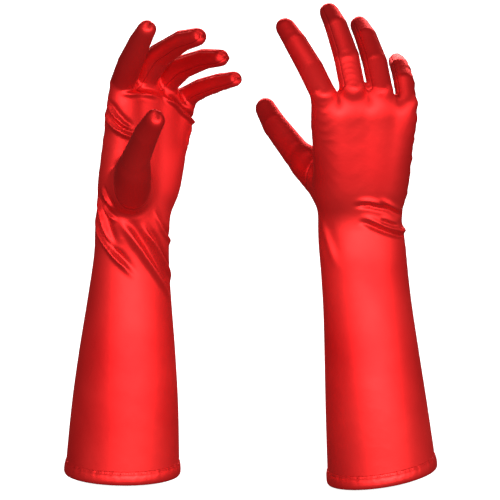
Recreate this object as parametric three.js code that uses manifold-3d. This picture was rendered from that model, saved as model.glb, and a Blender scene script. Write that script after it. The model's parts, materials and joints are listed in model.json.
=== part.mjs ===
// A pair of elbow-length satin opera gloves as they sit on two raised arms, in millimetres, +Z up.
// The origin is the centre of the left glove's arm opening. Each glove is cut as a back and a palm
// piece sewn along the sides, with a strip between each two fingers, a set-in thumb and a turned hem.
// The cloth is divided where the hand inside bends, and each finger, thumb and wrist bend is a hinge.
import * as THREE from 'three';
import { mergeVertices } from 'three/addons/utils/BufferGeometryUtils.js';
import Module from 'manifold-3d';

const wasm = await Module();
wasm.setup();

// ---- Driving dimensions ----
const clothWall = 1.6;        // satin, lining and seam bulk together
const seamGap = 0.3;          // between two pieces that are sewn edge to edge
const bendGap = 0.8;          // between the two sides of a bend
const sleeveLength = 192;     // hem to wrist bend
const hemHeight = 9;
const hemWall = 2.6;
const pairSpacing = 191.4;    // from one hem's centre to the other's
const rightDrop = -1.4;       // how much higher the right hem's centre is than the left's

// Half width across the hand and half depth from back to palm, at shares of the sleeve's length.
const hemHalf = [40.5, 44];
const elbowHalf = [37.6, 42];
const forearmHalf = [34.6, 37];
const cuffHalf = [31.6, 30.5];

// Hand, measured from the wrist bend along the middle of the palm.
const wristDepth = 22.5;
const palmHalf = [36.5, 17.5];
const knuckleDepth = 12.6;    // half the hand's depth at the knuckles
const palmShare = 0.45;       // where along the hand palmHalf is measured
const handRoundness = 2.5;    // exponent of the hand's flattened section
const webWidth = 5;
const webWall = 1.6;

// Fingers, from the thumb side: where each leaves the hand (along, towards the palm), its three
// lengths, and its half widths at its four stations from the web to the tip. Depth is a share of width.
const fingers = {
  index: { knuckle: [102, 0], lengths: [22, 25, 24], halfWidths: [10, 9.9, 9, 7.8] },
  middle: { knuckle: [106, -1], lengths: [24, 28, 25], halfWidths: [9.8, 9.8, 8.9, 7.7] },
  ring: { knuckle: [103, 0], lengths: [22, 26, 25], halfWidths: [9.6, 9.6, 8.7, 7.4] },
  little: { knuckle: [93, 2], lengths: [17, 19, 21], halfWidths: [8.7, 8.4, 7.7, 6.7] },
};
const fingerGap = 1.9;        // between two fingers where they leave the hand
const fingerEdge = [0.6, 1.5];  // from the hand's thumb side to the index, and from the little finger to its other side
const fingerDepthShare = 0.93;
const thumb = { root: [20, 24, 12], lengths: [42, 32, 27], halfWidths: [14.5, 11.9, 10.5, 8.8] };
const thumbDepthShare = 0.9;
const thumbSleeveStart = 12;  // the set-in thumb starts this far along its first length
const thumbClearance = 1.4;   // round the set-in thumb, in the hand's thumb hole

// How far each bend goes, in degrees from straight. The last finger bend follows the one before.
const rootBend = [-15, 60];
const middleBend = [0, 80];
const tipShare = 0.6;
const wristBend = 30;         // each way from rest
const thumbSwing = 12;        // each way from rest
const thumbBend = [0, 40];
const thumbTipShare = 0.9;

// How each hand is held at rest, in degrees. turn, nod and lean place the hand; a finger has its
// spread and its first two bends, and the thumb its swing out, its swing in and its two bends.
const leftPose = {
  side: -1, sleeveLean: 2.2, hemTilt: 0, wristWidth: 29.5, turn: 42.5, nod: -3.8, lean: 8.8,
  index: [18, 33, 6], middle: [3, 34, 22], ring: [2.5, 46, 19], little: [-4, 56, 8],
  thumb: [36, 34, 7],
};
const rightPose = {
  side: 1, sleeveLean: -4.8, hemTilt: 9, wristWidth: 32, turn: 11, nod: 9.5, lean: 2,
  index: [19.5, 42, 12], middle: [8, 27, 28], ring: [6, 37, 26], little: [-1, 50, 26],
  thumb: [54, 52, 9],
};

// How finely the round shapes are drawn.
const fingerSides = 14;
const tipRows = 4;
const handRows = 6;
const sleeveSides = 22;
const sleeveRows = 8;

const satin = { color: 0xc8151c, roughness: 0.32, metalness: 0 };
const hemSatin = { color: 0xb81218, roughness: 0.38, metalness: 0 };
const webSatin = { color: 0xa50f16, roughness: 0.4, metalness: 0 };

const rad = THREE.MathUtils.degToRad;
const sum = (list) => list.reduce((a, b) => a + b, 0);

// The four fingers stand side by side, and the hand is as wide as they are with its two edges.
const rootWidths = Object.values(fingers).map((finger) => 2 * finger.halfWidths[0]);
const knuckleHalf = [
  (sum(rootWidths) + fingerGap * (rootWidths.length - 1) + sum(fingerEdge)) / 2,
  knuckleDepth,
];
Object.values(fingers).forEach((finger, k) => {
  const edge = knuckleHalf[0] - fingerEdge[0] - sum(rootWidths.slice(0, k)) - fingerGap * k;
  finger.root = [edge - rootWidths[k] / 2, ...finger.knuckle];
});

// ---- Shells between two grids ----

// Turns a grid of outer points and one of inner points, the same size, into one closed shell.
// Rows run along the piece and columns round it; wrap joins the last column to the first, and
// capped means that the last row is a single point on each grid.
function shellGeometry(outer, inner, { wrap, capped = false }) {
  const rows = outer.length;
  const columns = outer[0].length;
  const points = [...outer.flat(), ...inner.flat()];
  const at = (layer, i, j) => layer * rows * columns + i * columns + (j % columns);
  const faces = [];
  const quad = (a, b, c, d) => faces.push([a, b, c], [a, c, d]);
  const lastColumn = wrap ? columns : columns - 1;
  for (let i = 0; i < rows - 1; i++) {
    for (let j = 0; j < lastColumn; j++) {
      quad(at(0, i, j), at(0, i, j + 1), at(0, i + 1, j + 1), at(0, i + 1, j));
      quad(at(1, i, j), at(1, i + 1, j), at(1, i + 1, j + 1), at(1, i, j + 1));
    }
  }
  for (let j = 0; j < lastColumn; j++) {
    quad(at(0, 0, j), at(1, 0, j), at(1, 0, j + 1), at(0, 0, j + 1));
    if (!capped) {
      const end = rows - 1;
      quad(at(0, end, j), at(0, end, j + 1), at(1, end, j + 1), at(1, end, j));
    }
  }
  if (!wrap) {
    for (let i = 0; i < rows - 1; i++) {
      const side = columns - 1;
      quad(at(0, i, 0), at(0, i + 1, 0), at(1, i + 1, 0), at(1, i, 0));
      quad(at(0, i, side), at(1, i, side), at(1, i + 1, side), at(0, i + 1, side));
    }
  }
  return closedGeometry(points, faces);
}

// Merges equal points, drops the faces that a pole has collapsed, and points the rest outwards.
function closedGeometry(points, faces) {
  const raw = new THREE.BufferGeometry();
  raw.setAttribute('position', new THREE.Float32BufferAttribute(points.flatMap((p) => p.toArray()), 3));
  raw.setIndex(faces.flat());
  const merged = mergeVertices(raw, 1e-4);
  const index = [];
  const old = merged.getIndex().array;
  for (let k = 0; k < old.length; k += 3) {
    const [a, b, c] = [old[k], old[k + 1], old[k + 2]];
    if (a !== b && b !== c && c !== a) index.push(a, b, c);
  }
  const place = merged.getAttribute('position');
  const corner = (k) => new THREE.Vector3().fromBufferAttribute(place, index[k]);
  let volume = 0;
  for (let k = 0; k < index.length; k += 3) {
    volume += corner(k).dot(corner(k + 1).cross(corner(k + 2)));
  }
  if (volume < 0) index.reverse();
  merged.setIndex(index);
  return merged;
}

// A piece's own directions: along its length, across the hand, and towards the palm.
function pieceFrame(start, along, across, towardsPalm) {
  const d = along.clone().normalize();
  const l = across.clone().addScaledVector(d, -across.dot(d)).normalize();
  const n = new THREE.Vector3().crossVectors(d, l);
  if (n.dot(towardsPalm) < 0) n.negate();
  const point = (t, x, y) => start.clone().addScaledVector(d, t).addScaledVector(l, x).addScaledVector(n, y);
  return { start, d, l, n, point };
}

// Where a plane through the piece's own point at distance t, square to normal, meets the line
// that runs along the piece at (x, y).
function planeAt(frame, t, normal) {
  const along = frame.d.dot(normal);
  return (x, y) => t - (x * frame.l.dot(normal) + y * frame.n.dot(normal)) / along;
}

// The wedge taken from one side of a bend, so that both sides can swing through bend (degrees
// from straight) about the hinge line: half of the swing on the palm side and half on the back.
function bendWedge(bend) {
  const palm = Math.tan(rad(Math.max(0, bend[1]) / 2));
  const back = Math.tan(rad(Math.max(0, -bend[0]) / 2));
  return (y) => bendGap / 2 + Math.max(y, 0) * palm + Math.max(-y, 0) * back;
}

// A point on a rounded section: roundness 2 is an oval, and more than 2 is flatter.
function sectionPoint(angle, halfWidth, halfDepth, roundness) {
  const x = Math.cos(angle);
  const depth = Math.max(0, 1 - Math.abs(x) ** roundness) ** (1 / roundness);
  return [x * halfWidth, Math.sign(Math.sin(angle)) * depth * halfDepth];
}

// Half width and half depth at t, straight from station to station.
function halfAxes(stations) {
  return (t) => {
    const next = stations.findIndex((s) => s.t >= t);
    if (next === 0) return stations[0].half;
    if (next < 0) return stations[stations.length - 1].half;
    const [a, b] = [stations[next - 1], stations[next]];
    const share = (t - a.t) / (b.t - a.t);
    return a.half.map((v, k) => v + (b.half[k] - v) * share);
  };
}

// A shell round a length of the glove. startAt and endAt give, for a point of the section, how far
// along the piece its two edges are; angles are the columns, and wall is taken from inside.
function lengthShell({ frame, angles, rows, half, wall, startAt, endAt, roundness = 2, wrap = true, shift = 0 }) {
  const grid = (inset) => {
    const out = [];
    for (let i = 0; i <= rows; i++) {
      out.push(angles.map((angle) => {
        const middle = (startAt(0, 0) + endAt(0, 0)) / 2;
        const [rimX, rimY] = sectionPoint(angle, ...half(middle), roundness);
        const t0 = startAt(...sectionPoint(angle, ...half(startAt(rimX, rimY)), roundness));
        const t1 = endAt(...sectionPoint(angle, ...half(endAt(rimX, rimY)), roundness));
        const t = t0 + ((t1 - t0) * i) / rows;
        const [a, b] = half(t);
        const [x, y] = sectionPoint(angle, a - inset, b - inset, roundness);
        return frame.point(t, x, y + shift);
      }));
    }
    return out;
  };
  return shellGeometry(grid(0), grid(wall), { wrap });
}

// A fingertip: the same shell, closed at its far end by an oval dome that is as long as it is deep.
function tipShell({ frame, angles, half, wall, startAt, length }) {
  const domeStart = length - half(length)[0];
  const grid = (inset) => {
    const out = [];
    const reach = length - inset - domeStart;
    for (const share of [0, 1]) {
      out.push(angles.map((angle) => {
        const t0 = startAt(...sectionPoint(angle, ...half(0), 2));
        const t = t0 + (domeStart - t0) * share;
        const [a, b] = half(t);
        return frame.point(t, ...sectionPoint(angle, a - inset, b - inset, 2));
      }));
    }
    for (let i = 1; i <= tipRows; i++) {
      const turn = (Math.PI / 2) * (i / tipRows);
      const [a, b] = half(domeStart + reach * Math.sin(turn));
      const share = i === tipRows ? 0 : Math.cos(turn);
      out.push(angles.map((angle) => {
        const [x, y] = sectionPoint(angle, (a - inset) * share, (b - inset) * share, 2);
        return frame.point(domeStart + reach * Math.sin(turn), x, y);
      }));
    }
    return out;
  };
  return shellGeometry(grid(0), grid(wall), { wrap: true, capped: true });
}

const roundAngles = (count) => Array.from({ length: count }, (_, j) => (2 * Math.PI * j) / count);
const halfAngles = (count, sign) => Array.from({ length: count + 1 }, (_, j) => (sign * Math.PI * j) / count);

// ---- Booleans ----

function toSolid(geometry) {
  const vertProperties = new Float32Array(geometry.getAttribute('position').array);
  const triVerts = new Uint32Array(geometry.getIndex().array);
  return new wasm.Manifold(new wasm.Mesh({ numProp: 3, vertProperties, triVerts }));
}

function fromSolid(solid) {
  const mesh = solid.getMesh();
  const geometry = new THREE.BufferGeometry();
  geometry.setAttribute('position', new THREE.Float32BufferAttribute(mesh.vertProperties, 3));
  geometry.setIndex(Array.from(mesh.triVerts));
  return geometry;
}

// ---- One glove ----

// The hand's directions at rest: thumbSide across, fingers along, palm facing.
function handAxes(pose) {
  const held = new THREE.Matrix4().makeRotationY(rad(pose.lean))
    .multiply(new THREE.Matrix4().makeRotationX(rad(pose.nod)))
    .multiply(new THREE.Matrix4().makeRotationZ(rad(pose.turn)));
  const turned = (x, y, z) => new THREE.Vector3(x, y, z).applyMatrix4(held);
  return { thumbSide: turned(-1, 0, 0), along: turned(0, 0, 1), palm: turned(0, pose.side, 0) };
}

// The wrist bend's limits from straight: at rest the hand is already a little bent on the sleeve.
function wristFromStraight(sleeveDirection, hand) {
  const square = hingeSquare(sleeveDirection, hand.thumbSide);
  const rest = THREE.MathUtils.radToDeg(Math.atan2(-square.dot(hand.palm), square.dot(hand.along)));
  return [rest - wristBend, rest + wristBend];
}

function addPiece(glove, name, geometry, finish) {
  const flat = geometry.toNonIndexed();
  flat.computeVertexNormals();
  const mesh = new THREE.Mesh(flat, new THREE.MeshStandardMaterial(finish));
  mesh.name = name;
  glove.add(mesh);
}

// The sleeve's centre line runs from the hem to the wrist bend, and its section keeps the hand's turn.
function sleevePieces(glove, label, pose, hand, wrist) {
  const frame = pieceFrame(new THREE.Vector3(), wrist, hand.thumbSide, hand.palm);
  const half = halfAxes([
    { t: 0, half: hemHalf },
    { t: sleeveLength * 0.26, half: elbowHalf },
    { t: sleeveLength * 0.47, half: forearmHalf },
    { t: sleeveLength * 0.72, half: cuffHalf },
    { t: sleeveLength, half: [pose.wristWidth, wristDepth] },
  ]);
  const hemNormal = new THREE.Vector3(-Math.sin(rad(pose.hemTilt)), 0, Math.cos(rad(pose.hemTilt)));
  const hemStart = planeAt(frame, 0, hemNormal);
  const hemEnd = planeAt(frame, hemHeight, hemNormal);
  const seamStart = planeAt(frame, hemHeight + seamGap, hemNormal);
  const hingeNormal = hingeSquare(frame.d, hand.thumbSide);
  const wedge = bendWedge(wristFromStraight(frame.d, hand));
  const hingeAt = planeAt(frame, sleeveLength, hingeNormal);
  addPiece(glove, `${label}_hem`, lengthShell({
    frame, angles: roundAngles(sleeveSides * 2), rows: 1, half, wall: hemWall, startAt: hemStart, endAt: hemEnd,
  }), hemSatin);
  for (const [piece, sign] of [['back', -1], ['palm', 1]]) {
    addPiece(glove, `${label}_sleeve_${piece}`, lengthShell({
      frame, angles: halfAngles(sleeveSides, sign), rows: sleeveRows, half, wall: clothWall, wrap: false,
      shift: (sign * seamGap) / 2, startAt: seamStart, endAt: (x, y) => hingeAt(x, y) - wedge(y),
    }), satin);
  }
}

// The direction that is square to a hinge line and nearest to the piece's length.
function hingeSquare(along, hinge) {
  return along.clone().addScaledVector(hinge, -along.dot(hinge)).normalize();
}

// Columns round half of the hand: each finger's edges, so that the top edge steps between fingers.
function handAngles(sign) {
  const across = [1, 0.95];
  const order = Object.values(fingers);
  order.forEach((finger, k) => {
    if (k > 0) {
      const between = (order[k - 1].root[0] + finger.root[0]) / 2 / knuckleHalf[0];
      const step = 1 / knuckleHalf[0];
      across.push(between + step, between - step);
    }
    if (k < order.length - 1) across.push(finger.root[0] / knuckleHalf[0]);
  });
  across.push(order[order.length - 1].root[0] / knuckleHalf[0], -0.95, -1);
  return across.map((x) => sign * Math.acos(x));
}

function handPieces(glove, label, pose, hand, wrist, thumbHole) {
  const frame = pieceFrame(wrist, hand.along, hand.thumbSide, hand.palm);
  const order = Object.values(fingers);
  const handLength = Math.max(...order.map((f) => f.root[1]));
  const half = halfAxes([
    { t: 0, half: [pose.wristWidth, wristDepth] },
    { t: handLength * palmShare, half: palmHalf },
    { t: handLength * 0.8, half: knuckleHalf },
    { t: handLength, half: knuckleHalf },
  ]);
  const nearest = (x) => order.reduce((a, b) => (Math.abs(b.root[0] - x) < Math.abs(a.root[0] - x) ? b : a));
  const wristWedge = bendWedge(wristFromStraight(wrist.clone().normalize(), hand));
  const rootWedge = bendWedge(rootBend);
  for (const [piece, sign] of [['back', -1], ['palm', 1]]) {
    const geometry = lengthShell({
      frame, angles: handAngles(sign), rows: handRows, half, wall: clothWall, wrap: false,
      roundness: handRoundness, shift: (sign * seamGap) / 2,
      startAt: (x, y) => wristWedge(y), endAt: (x, y) => nearest(x).root[1] - rootWedge(y - nearest(x).root[2]),
    });
    addPiece(glove, `${label}_hand_${piece}`, fromSolid(toSolid(geometry).subtract(thumbHole)), satin);
  }
  // A strip bridges back and palm between each two fingers, under both fingers' swing.
  for (let k = 1; k < order.length; k++) {
    const [near, far] = [order[k - 1], order[k]];
    const middle = (near.root[0] + far.root[0]) / 2;
    const top = Math.min(near.root[1], far.root[1]);
    const depth = sectionPoint(Math.acos(middle / knuckleHalf[0]), ...knuckleHalf, handRoundness)[1];
    const reach = depth - clothWall - seamGap - bendGap;
    const rib = [-1, 0, 1].map((share) => [share * reach, -rootWedge(share * reach) - bendGap]);
    const outline = [...rib, ...rib.map(([y, t]) => [y, t - webWall]).reverse()];
    const [low, high] = [middle - webWidth / 2, middle + webWidth / 2];
    const side = (x) => outline.map(([y, t]) => frame.point(top + t, x, y));
    const count = outline.length;
    const faces = [];
    for (let i = 0; i < count; i++) {
      const next = (i + 1) % count;
      faces.push([i, next, count + next], [i, count + next, count + i]);
    }
    for (const layer of [0, count]) {
      const ends = [[0, 1, 4], [0, 4, 5], [1, 2, 3], [1, 3, 4]].map((f) => f.map((v) => v + layer));
      faces.push(...(layer ? ends : ends.map((f) => f.reverse())));
    }
    const names = Object.keys(fingers);
    addPiece(glove, `${label}_${names[k - 1]}_${names[k]}_web`, closedGeometry([...side(low), ...side(high)], faces), webSatin);
  }
}

// The points and directions of a digit's three lengths. bends are the three rest bends from straight.
function digitLine(start, firstDirection, bendTowards, lengths, bends) {
  const line = [];
  let point = start;
  let turn = 0;
  lengths.forEach((length, k) => {
    turn += rad(bends[k]);
    const d = firstDirection.clone().multiplyScalar(Math.cos(turn)).addScaledVector(bendTowards, Math.sin(turn));
    line.push({ start: point, d, length });
    point = point.clone().addScaledVector(d, length);
  });
  return { line, tip: point };
}

// The three shells of a finger or thumb. ranges are its bends' limits from straight.
function digitPieces(glove, label, digit, line, hinge, palm, ranges, depthShare, firstStart) {
  const names = ['base', 'middle', 'tip'];
  line.forEach((length, k) => {
    const towardsPalm = palm.clone().addScaledVector(length.d, -palm.dot(length.d));
    const frame = pieceFrame(length.start, length.d, hinge, towardsPalm);
    const [near, far] = [digit.halfWidths[k], digit.halfWidths[k + 1]];
    const half = halfAxes([
      { t: 0, half: [near, near * depthShare] },
      { t: length.length, half: [far, far * depthShare] },
    ]);
    const square = hingeSquare(length.d, hinge);
    const startPlane = planeAt(frame, 0, square);
    const startWedge = bendWedge(ranges[k]);
    const startAt = k === 0 && firstStart ? () => firstStart : (x, y) => startPlane(x, y) + startWedge(y);
    const shell = { frame, angles: roundAngles(fingerSides), half, wall: clothWall, startAt };
    if (k === 2) {
      addPiece(glove, `${label}_${names[k]}`, tipShell({ ...shell, length: length.length }), satin);
      return;
    }
    const endPlane = planeAt(frame, length.length, square);
    const endWedge = bendWedge(ranges[k + 1]);
    const endAt = (x, y) => endPlane(x, y) - endWedge(y);
    addPiece(glove, `${label}_${names[k]}`, lengthShell({ ...shell, rows: 2, endAt }), satin);
  });
}

function buildGlove(label, pose) {
  const glove = new THREE.Group();
  const hand = handAxes(pose);
  const lean = rad(pose.sleeveLean);
  const wrist = new THREE.Vector3(Math.sin(lean), 0, Math.cos(lean)).multiplyScalar(sleeveLength);
  const place = ([across, along, palm]) => wrist.clone().addScaledVector(hand.thumbSide, across)
    .addScaledVector(hand.along, along).addScaledVector(hand.palm, palm);
  const hinges = [{ name: `${label}_wrist`, at: wrist, axis: hand.thumbSide, towards: hand.palm, along: hand.along,
    range: [-wristBend, wristBend] }];
  const addHinge = (name, at, along, towards, axis, range) => hinges.push({ name, at, along, towards, axis, range });

  sleevePieces(glove, label, pose, hand, wrist);

  // The thumb swings across the palm from its own root.
  const [out, inward, bend] = pose.thumb.map(rad);
  const thumbDirection = new THREE.Vector3()
    .addScaledVector(hand.thumbSide, Math.sin(out) * Math.cos(inward))
    .addScaledVector(hand.along, Math.cos(out) * Math.cos(inward))
    .addScaledVector(hand.palm, Math.sin(inward));
  const across = hand.thumbSide.clone().negate().addScaledVector(hand.palm, 0.25);
  const thumbTowards = hingeSquare(across, thumbDirection);
  const thumbHinge = new THREE.Vector3().crossVectors(thumbDirection, thumbTowards);
  const thumbRest = [0, pose.thumb[2], pose.thumb[2] * thumbTipShare];
  const thumbRanges = [[-thumbSwing, thumbSwing], thumbBend, thumbBend.map((v) => v * thumbTipShare)];
  const thumbLine = digitLine(place(thumb.root), thumbDirection, thumbTowards, thumb.lengths, thumbRest);
  digitPieces(glove, `${label}_thumb`, thumb, thumbLine.line, thumbHinge, thumbTowards, thumbRanges, thumbDepthShare,
    thumbSleeveStart);

  // The hand's thumb hole clears the set-in thumb through its whole swing.
  const holeFrame = pieceFrame(place(thumb.root), thumbDirection, thumbHinge, thumbTowards);
  const holeHalf = (t) => {
    const share = t / thumb.lengths[0];
    const width = thumb.halfWidths[0] + (thumb.halfWidths[1] - thumb.halfWidths[0]) * share;
    return width + thumbClearance + t * Math.sin(rad(thumbSwing));
  };
  const holeRing = (t) => roundAngles(fingerSides).map((angle) =>
    holeFrame.point(t, ...sectionPoint(angle, holeHalf(t), holeHalf(t), 2)));
  const holeEnd = sum(thumb.lengths.slice(0, 2));
  const centre = (t) => roundAngles(fingerSides).map(() => holeFrame.point(t, 0, 0));
  const holeStart = thumbSleeveStart - thumbClearance - thumb.halfWidths[0] * Math.sin(rad(thumbSwing));
  const thumbHole = toSolid(openGrid([centre(holeStart), holeRing(holeStart), holeRing(holeEnd), centre(holeEnd)]));

  handPieces(glove, label, pose, hand, wrist, thumbHole);

  for (const [name, digit] of Object.entries(fingers)) {
    const [spread, first, second] = pose[name];
    const straight = hand.along.clone().multiplyScalar(Math.cos(rad(spread)))
      .addScaledVector(hand.thumbSide, Math.sin(rad(spread)));
    const rest = [first, second, second * tipShare];
    const ranges = [rootBend, middleBend, middleBend.map((v) => v * tipShare)];
    const line = fingerLine(place(digit.root), hand, rad(spread), digit.lengths, rest);
    digitPieces(glove, `${label}_${name}`, digit, line.line, hand.thumbSide, hand.palm, ranges, fingerDepthShare);
    rest.forEach((value, k) => addHinge(`${label}_${name}_${['root', 'middle', 'tip'][k]}`, line.line[k].start,
      line.line[k].d, hand.palm, hand.thumbSide, ranges[k].map((v) => v - value)));
  }
  thumbRest.forEach((value, k) => addHinge(`${label}_thumb_${['root', 'middle', 'tip'][k]}`, thumbLine.line[k].start,
    thumbLine.line[k].d, thumbTowards, thumbHinge, k ? thumbRanges[k].map((v) => v - value) : thumbRanges[k]));
  glove.userData.hinges = hinges;
  return glove;
}

// A solid from rings of points whose first and last rings are single points.
function openGrid(rings) {
  const columns = rings[0].length;
  const faces = [];
  for (let i = 0; i < rings.length - 1; i++) {
    for (let j = 0; j < columns; j++) {
      const [a, b] = [i * columns + j, i * columns + ((j + 1) % columns)];
      faces.push([a, b, b + columns], [a, b + columns, a + columns]);
    }
  }
  return closedGeometry(rings.flat(), faces);
}

// A spread finger keeps its place across the hand as it bends, because every bend of it turns
// about a line across the hand: only its part along the hand swings towards the palm.
function fingerLine(start, hand, spread, lengths, bends) {
  const line = [];
  let point = start;
  let turn = 0;
  lengths.forEach((length, k) => {
    turn += rad(bends[k]);
    const d = hand.thumbSide.clone().multiplyScalar(Math.sin(spread))
      .addScaledVector(hand.along, Math.cos(spread) * Math.cos(turn))
      .addScaledVector(hand.palm, Math.cos(spread) * Math.sin(turn));
    line.push({ start: point, d, length });
    point = point.clone().addScaledVector(d, length);
  });
  return { line, tip: point };
}

const gloves = new THREE.Group();
const leftGlove = buildGlove('left', leftPose);
const rightGlove = buildGlove('right', rightPose);
rightGlove.position.set(pairSpacing, 0, rightDrop);
gloves.add(leftGlove, rightGlove);

export default gloves;
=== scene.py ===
import json
import math
import bpy
import numpy as np
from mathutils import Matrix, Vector


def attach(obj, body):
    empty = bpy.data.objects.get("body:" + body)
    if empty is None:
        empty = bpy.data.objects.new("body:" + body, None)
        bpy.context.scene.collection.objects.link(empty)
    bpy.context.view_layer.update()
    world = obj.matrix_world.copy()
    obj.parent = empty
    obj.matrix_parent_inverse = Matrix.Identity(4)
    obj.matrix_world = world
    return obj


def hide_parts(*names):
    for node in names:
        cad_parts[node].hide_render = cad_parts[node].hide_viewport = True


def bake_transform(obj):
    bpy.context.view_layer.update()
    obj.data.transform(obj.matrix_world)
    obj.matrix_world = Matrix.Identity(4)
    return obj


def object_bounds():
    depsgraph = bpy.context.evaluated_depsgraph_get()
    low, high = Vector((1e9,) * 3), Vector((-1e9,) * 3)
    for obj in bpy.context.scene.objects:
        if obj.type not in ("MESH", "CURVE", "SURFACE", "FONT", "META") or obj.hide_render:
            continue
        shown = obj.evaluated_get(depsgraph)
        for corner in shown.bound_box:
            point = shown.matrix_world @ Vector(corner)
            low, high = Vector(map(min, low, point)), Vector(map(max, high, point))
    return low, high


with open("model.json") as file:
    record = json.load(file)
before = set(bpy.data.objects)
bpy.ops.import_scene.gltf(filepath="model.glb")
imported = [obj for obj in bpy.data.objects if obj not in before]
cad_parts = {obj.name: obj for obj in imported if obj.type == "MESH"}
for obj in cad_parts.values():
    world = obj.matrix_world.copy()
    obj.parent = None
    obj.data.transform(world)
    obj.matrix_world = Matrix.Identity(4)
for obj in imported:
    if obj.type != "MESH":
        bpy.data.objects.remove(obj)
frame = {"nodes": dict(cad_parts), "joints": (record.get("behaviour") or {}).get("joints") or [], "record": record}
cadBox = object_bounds()
print("frame loaded:", len(frame["nodes"]), "nodes")

mm = 0.001
joints = {j["name"]: j for j in frame["joints"]}
mounts = {m["name"]: m for m in frame["record"]["mounts"]}
digitNames = ["thumb", "index", "middle", "ring", "little"]

# every length below is in mm and every angle in degrees; the mesh is scaled once, when it is made


def unit(v):
    return v / np.linalg.norm(v)


def smoothStep(x, start, end):
    t = np.clip((x - start) / (end - start), 0, 1)
    return t * t * (3 - 2 * t)


def smoothMin(f, g, k):
    # the lesser of two fields, rounded over a band k wide
    h = np.clip(0.5 + 0.5 * (g - f) / k, 0, 1)
    return g * (1 - h) + f * h - k * h * (1 - h)


def curveThrough(points, spacing=0.8):
    # a Catmull-Rom curve through the points: each span is the cubic that leaves one point in the direction
    # from its neighbour before to the one after, at about one sample for each spacing
    p = np.asarray(points, float)
    ends = np.concatenate([[2 * p[0] - p[1]], p, [2 * p[-1] - p[-2]]])
    spans = []
    for k in range(len(p) - 1):
        a, b, c, d = ends[k:k + 4]
        count = max(2, int(np.linalg.norm(c - b) / spacing))
        t = np.linspace(0, 1, count, endpoint=False)[:, None]
        spans.append(0.5 * (2 * b + (c - a) * t + (2 * a - 5 * b + 4 * c - d) * t ** 2
                            + (3 * b - a - 3 * c + d) * t ** 3))
    return np.concatenate(spans + [p[-1:]])


def vertexNormals(p, faces):
    # the sum of the crossed diagonals of each point's quads, made one long
    cross = np.cross(p[faces[:, 2]] - p[faces[:, 0]], p[faces[:, 3]] - p[faces[:, 1]])
    total = np.stack([sum(np.bincount(faces[:, k], cross[:, axis], len(p)) for k in range(4))
                      for axis in range(3)], axis=1)
    return total / np.maximum(np.linalg.norm(total, axis=1), 1e-9)[:, None]


def gridFaces(rows, columns, closed=False):
    # quads of a grid whose points run row by row round a tube; a closed one joins its last row to its first
    i, j = np.meshgrid(np.arange(rows if closed else rows - 1), np.arange(columns), indexing="ij")
    nextI = (i + 1) % rows
    nextJ = (j + 1) % columns
    corners = [i * columns + j, i * columns + nextJ, nextI * columns + nextJ, nextI * columns + j]
    return np.stack(corners, axis=-1).reshape(-1, 4)


def turnedOut(points, quads, tested):
    # the quads, turned over if the tested ones among them hold a negative volume
    corner = points[quads[:tested]]
    volume = (corner[:, 0] * np.cross(corner[:, 1], corner[:, 2])).sum()
    volume += (corner[:, 0] * np.cross(corner[:, 2], corner[:, 3])).sum()
    return quads[:, ::-1] if volume < 0 else quads


def place(jointName):
    return np.array(joints[jointName]["pos_m"], float) / mm


def farthestPoint(nodeName, start):
    # the node's vertex that is farthest from start, which is a fingertip's end
    node = frame["nodes"][nodeName]
    co = np.array([v.co for v in node.data.vertices], float) / mm
    return co[np.argmax(np.linalg.norm(co - start, axis=1))]


def gloveBones(side):
    opening = mounts[f"{side}_arm_opening"]
    hem = np.array(opening["pos_m"], float) / mm + [sleeve["hemShift"][side], 0, 0]
    hemDown = unit(np.array(opening["axis"], float))
    wrist = place(f"{side}_wrist")
    bendAxis = unit(np.array(joints[f"{side}_wrist"]["axis"], float))
    toRing = place(f"{side}_ring_root") - wrist
    along = unit(toRing - bendAxis * (toRing @ bendAxis))
    facing = np.cross(bendAxis, along)            # the way the palm faces
    thumbSide = bendAxis if (place(f"{side}_index_root") - wrist) @ bendAxis > 0 else -bendAxis
    bones = {"side": side, "hem": hem, "hemUp": -hemDown, "wrist": wrist, "along": along, "facing": facing,
             "across": thumbSide, "sleeveAlong": unit(wrist - hem),
             "sleeveLength": np.linalg.norm(wrist - hem)}
    bones["sleeveAcross"] = unit(thumbSide - bones["sleeveAlong"] * (thumbSide @ bones["sleeveAlong"]))
    square = facing - bones["sleeveAlong"] * (facing @ bones["sleeveAlong"])
    bones["sleeveFacing"] = unit(square - bones["sleeveAcross"] * (square @ bones["sleeveAcross"]))
    for name in digitNames:
        points = [place(f"{side}_{name}_{bend}") for bend in ("root", "middle", "tip")]
        points.append(farthestPoint(f"{side}_{name}_tip", points[2]))
        bones[name] = points
        bones[name + "Axis"] = unit(np.array(joints[f"{side}_{name}_root"]["axis"], float))
    return bones


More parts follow.
